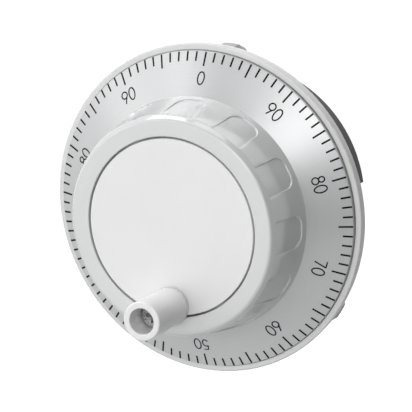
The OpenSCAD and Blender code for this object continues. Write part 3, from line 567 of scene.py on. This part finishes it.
def knob_inside():
    """Points (r, h) from the front ring down the cap's groove and back inside."""
    groove_r = CAP_R + CAP_GROOVE
    points = [(groove_r + 3.0, KNOB_FACE_H), (groove_r + 0.3, KNOB_FACE_H)]
    round_centre = (groove_r + GROOVE_EDGE_R, KNOB_FACE_H - GROOVE_EDGE_R)
    points += arc_points(round_centre, GROOVE_EDGE_R, 90, 180, 4)
    points += [(groove_r, KNOB_FACE_H - 0.3), (groove_r, GROOVE_FLOOR_H)]
    points += [(CAP_R - 0.1, GROOVE_FLOOR_H), (CAP_R - 0.1, CAP_SEAT_H)]
    points += [(KNOB_WELL_R, CAP_SEAT_H), (KNOB_WELL_R, CAP_SEAT_H - KNOB_FRONT_T)]
    points += [(KNOB_NECK[0] - KNOB_WALL, CAP_SEAT_H - KNOB_FRONT_T)]
    points += [(KNOB_R - KNOB_WALL, KNOB_BASE_H)]
    return points


def make_knob():
    """The knob's shell with its finger recesses, and the boss that carries the spinner."""
    angles, u = knob_columns()
    rows = []
    for r, h in knob_rows():
        rows.append(to_frame(WHEEL_AXIS, r - recess_depth(u * r / KNOB_R, r, h), h, angles))
    for r, h in knob_inside():
        rows.append(to_frame(WHEEL_AXIS, r, h, angles))
    faces = grid_faces(len(rows), len(angles))
    knob = make_piece("knob_shell", np.concatenate(rows), faces, "wheel",
                      FINISHES["knob_plastic"], sharp=50)
    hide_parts("knob")
    boss = rounded([
        (SCREW_R, CAP_SEAT_H - 1, 0),
        (KNOB_BOSS_R, CAP_SEAT_H - 1, 0),
        (KNOB_BOSS_R, KNOB_FACE_H, 0.1),
        (SCREW_R, KNOB_FACE_H, 0),
    ])
    lathe("knob_boss", boss, SPIN_AXIS, "wheel",
          FINISHES["knob_plastic"], steps=96)


# ---------- dial lines and numbers ----------

INK_LIFT = 0.02
INK_T = 0.04
LINE_W = 0.39
LINE_L = 2.4
LONG_LINE_L = 3.5
LONG_LINE_EVERY = 5
LABEL_EVERY = 10
LABEL_R = 32.53
LABEL_H = 3.42
DIGIT_W = 2.0
DIGIT_PITCH = 2.15
STROKE_W = 0.34
ZERO_TURN = -0.2


def on_cone(angle, u, v, lift):
    """A point of the dial's cone, u to the right and v outwards from LABEL_R at an angle."""
    r = LABEL_R + v * math.cos(CONE_ANGLE)
    h = DIAL_WEB_H - (r - KNOB_R) * math.tan(CONE_ANGLE)
    turn = math.radians(angle + ZERO_TURN) + u / LABEL_R
    r += lift * math.sin(CONE_ANGLE)
    h += lift * math.cos(CONE_ANGLE)
    return (r * math.sin(turn), -h, r * math.cos(turn))


class Ink:
    """Collects thin closed strips on the dial's cone."""

    def __init__(self):
        self.points = []
        self.faces = []

    def strip(self, angle, path, width, closed=False):
        path = np.array(path, float)
        if closed:
            along = np.roll(path, -1, axis=0) - np.roll(path, 1, axis=0)
        else:
            along = np.gradient(path, axis=0)
        along /= np.linalg.norm(along, axis=1)[:, None]
        side = np.stack([-along[:, 1], along[:, 0]], axis=-1) * width / 2
        start = len(self.points)
        for lift in (INK_LIFT, INK_LIFT - INK_T):
            for edge in (path + side, path - side):
                for u, v in edge:
                    self.points.append(on_cone(angle, u, v, lift))
        self.close_strip(start, len(path), closed)

    def close_strip(self, start, count, closed):
        left, right, left_low, right_low = (start + i * count for i in range(4))
        for i in range(count if closed else count - 1):
            j = (i + 1) % count
            for a, b in ((left, right), (right, right_low), (right_low, left_low), (left_low, left)):
                self.faces.append((a + i, b + i, b + j, a + j))
        if not closed:
            end = count - 1
            self.faces.append((left, left_low, right_low, right))
            self.faces.append((left + end, right + end, right_low + end, left_low + end))


def oval(x, y, rx, ry, start=0, end=360, count=28):
    angles = np.radians(np.linspace(start, end, count))
    return [(x + rx * math.cos(a), y + ry * math.sin(a)) for a in angles]


def digit_strokes(digit):
    """Strokes (path, closed) of a thin plain digit, in a box 1 wide and 1 high about 0."""
    six_tail = [(0.17, 0.5), (-0.34, -0.06)]
    loop = oval(0, -0.22, 0.48, 0.28)[:-1]
    shapes = {
        "0": [(oval(0, 0, 0.5, 0.5, count=40)[:-1], True)],
        "5": [([(0.42, 0.48), (-0.22, 0.48), (-0.34, 0.05)], False),
              (oval(-0.02, -0.18, 0.46, 0.32, 132, -150), False)],
        "6": [(loop, True), (six_tail, False)],
        "7": [([(-0.45, 0.48), (0.45, 0.48)], False), ([(0.45, 0.5), (-0.16, -0.5)], False)],
        "8": [(oval(0, 0.265, 0.37, 0.235)[:-1], True), (oval(0, -0.235, 0.5, 0.265)[:-1], True)],
        "9": [([(-x, -y) for x, y in loop], True), ([(-x, -y) for x, y in six_tail], False)],
    }
    return shapes[digit]


def write_label(ink, angle, text):
    height = LABEL_H - STROKE_W
    width = DIGIT_W - STROKE_W
    for i, digit in enumerate(text):
        shift = (i - (len(text) - 1) / 2) * DIGIT_PITCH
        for path, closed in digit_strokes(digit):
            placed = [(shift + x * width, y * height) for x, y in path]
            ink.strip(angle, placed, STROKE_W, closed)


def make_dial_marks():
    slope_l = math.hypot(CONE_RUN, CONE_RISE) - (LABEL_R - KNOB_R) / math.cos(CONE_ANGLE)
    lines = Ink()
    numbers = Ink()
    for i in range(DIVISIONS):
        angle = i * 360 / DIVISIONS
        length = LONG_LINE_L if i % LONG_LINE_EVERY == 0 else LINE_L
        path = [(0, v) for v in np.linspace(slope_l - length, slope_l - 0.03, 4)]
        lines.strip(angle, path, LINE_W)
        if i % LABEL_EVERY == 0:
            write_label(numbers, angle, LABELS[min(i, DIVISIONS - i)])
    make_piece("dial_lines", lines.points, lines.faces, "wheel", INK)
    make_piece("dial_numbers", numbers.points, numbers.faces, "wheel", INK)


# ---------- camera, light and stage ----------

# The camera's angles in degrees, its distance in metres and its aim off the dial's centre
# in millimetres to its right and up.
CAMERA_AZIMUTH = 26.33
CAMERA_ELEVATION = 14.57
CAMERA_DISTANCE = 1.421
CAMERA_LENS = 523.5
CAMERA_AIM = (-0.19, 0.759)

# Each softbox's name, azimuth from the dial's front to its right, elevation, width, height
# and power.
SOFTBOXES = (
    ("key", 25, 26, 0.95, 0.2, 0.225),
    ("front", -28, 0, 1.4, 0.6, 0.396),
    ("low_front", 0, 6, 0.6, 0.6, 0.17),
    ("left_front", -50, 25, 0.6, 0.6, 0.11),
    ("left", -75, 8, 0.9, 0.9, 0.054),
    ("upper_left", -86, 61, 0.55, 0.5, 0.40),
    ("overhead", 20, 80, 0.6, 0.6, 0.295),
    ("rear_right", 150, 33, 0.6, 0.6, 0.04),
    ("rear_left", -168, 25, 0.9, 0.9, 0.22),
)
SOFTBOX_AIM = (0, -0.012, 0)

AMBIENT = 0.02
FLOOR_Z = -0.3
FLOOR_HALF = 20.0
FLOOR_LIFT = 0.97
FLOOR_COLOUR = (0.6, 0.6, 0.6)


def look_at(thing, target):
    direction = Vector(target) - thing.location
    thing.rotation_euler = direction.to_track_quat("-Z", "Y").to_euler()


def make_camera():
    az = math.radians(CAMERA_AZIMUTH)
    el = math.radians(CAMERA_ELEVATION)
    back = Vector((math.sin(az) * math.cos(el), -math.cos(az) * math.cos(el), math.sin(el)))
    right = Vector((math.cos(az), math.sin(az), 0))
    up = back.cross(right)
    aim = Vector((0, -DIAL_EDGE_H * MM, 0)) + (right * CAMERA_AIM[0] + up * CAMERA_AIM[1]) * MM
    data = bpy.data.cameras.new("camera")
    data.lens = CAMERA_LENS
    data.sensor_width = 36
    data.clip_start = 0.01
    camera = bpy.data.objects.new("camera", data)
    camera.location = aim + back * CAMERA_DISTANCE
    bpy.context.scene.collection.objects.link(camera)
    look_at(camera, aim)
    bpy.context.scene.camera = camera


def softbox(name, azimuth, elevation, width, height, power):
    """A lamp a metre away that faces the object; power is what a facing white surface gets."""
    data = bpy.data.lights.new(name, "AREA")
    data.shape = "RECTANGLE"
    data.size = width
    data.size_y = height
    data.energy = power * math.pi ** 2
    lamp = bpy.data.objects.new(name, data)
    az, el = math.radians(azimuth), math.radians(elevation)
    lamp.location = (math.sin(az) * math.cos(el), -math.cos(az) * math.cos(el), math.sin(el))
    bpy.context.scene.collection.objects.link(lamp)
    look_at(lamp, SOFTBOX_AIM)


def background_share(nodes, place, full):
    """One for camera rays, and for glossy and clear rays once place's Y nears full."""
    rays = nodes.add("ShaderNodeLightPath")
    parts = nodes.add("ShaderNodeSeparateXYZ")
    nodes.join(place, parts.inputs["Vector"])
    rear = nodes.add("ShaderNodeMapRange", interpolation_type="SMOOTHSTEP")
    rear.inputs["From Max"].default_value = full
    nodes.join(parts.outputs["Y"], rear.inputs["Value"])
    clear = nodes.math("MAXIMUM", rays.outputs["Is Glossy Ray"],
                       rays.outputs["Is Transmission Ray"])
    shown = nodes.math("MULTIPLY", clear, rear.outputs["Result"])
    return nodes.math("MAXIMUM", shown, rays.outputs["Is Camera Ray"])


def make_world():
    """A dim even studio, and a white background that cameras and glossy surfaces see."""
    world = bpy.data.worlds.new("studio")
    world.use_nodes = True
    bpy.context.scene.world = world
    nodes = Nodes(world)
    light = world.node_tree.nodes["Background"]
    light.inputs["Color"].default_value = (1, 1, 1, 1)
    place = nodes.add("ShaderNodeTexCoord").outputs["Generated"]
    level = nodes.add("ShaderNodeMapRange")
    level.inputs["To Min"].default_value = AMBIENT
    level.inputs["To Max"].default_value = 1.0
    nodes.join(background_share(nodes, place, 0.3), level.inputs["Value"])
    nodes.join(level.outputs["Result"], light.inputs["Strength"])


def make_floor():
    """A wide pale floor: white to the camera where it is lit, and open from below."""
    mesh = bpy.data.meshes.new("floor")
    corners = ((-1, -1), (1, -1), (1, 1), (-1, 1))
    points = [(x * FLOOR_HALF, y * FLOOR_HALF, FLOOR_Z) for x, y in corners]
    mesh.from_pydata(points, [], [(0, 1, 2, 3)])
    floor = bpy.data.objects.new("floor", mesh)
    bpy.context.scene.collection.objects.link(floor)
    mesh.materials.append(floor_paint())


def floor_paint():
    nodes = Nodes(bpy.data.materials.new("floor"))
    nodes.shader.inputs["Base Color"].default_value = (*FLOOR_COLOUR, 1)
    nodes.shader.inputs["Roughness"].default_value = 0.9
    nodes.shader.inputs["Specular IOR Level"].default_value = 0.0
    nodes.shader.inputs["Emission Color"].default_value = (1, 1, 1, 1)
    surface = nodes.add("ShaderNodeNewGeometry")
    share = background_share(nodes, surface.outputs["Position"], 1.0)
    nodes.join(nodes.math("MULTIPLY", share, FLOOR_LIFT), nodes.shader.inputs["Emission Strength"])
    above = nodes.math("SUBTRACT", 1.0, surface.outputs["Backfacing"])
    nodes.join(above, nodes.shader.inputs["Alpha"])
    return nodes.material


# ---------- the scene ----------


finish_cad_nodes()
make_dial()
make_knob()
make_cap()
make_grip()
make_washer()
make_dial_marks()
make_camera()
for lamp_sizes in SOFTBOXES:
    softbox(*lamp_sizes)
make_world()
make_floor()
bpy.context.scene.view_settings.view_transform = "Standard"
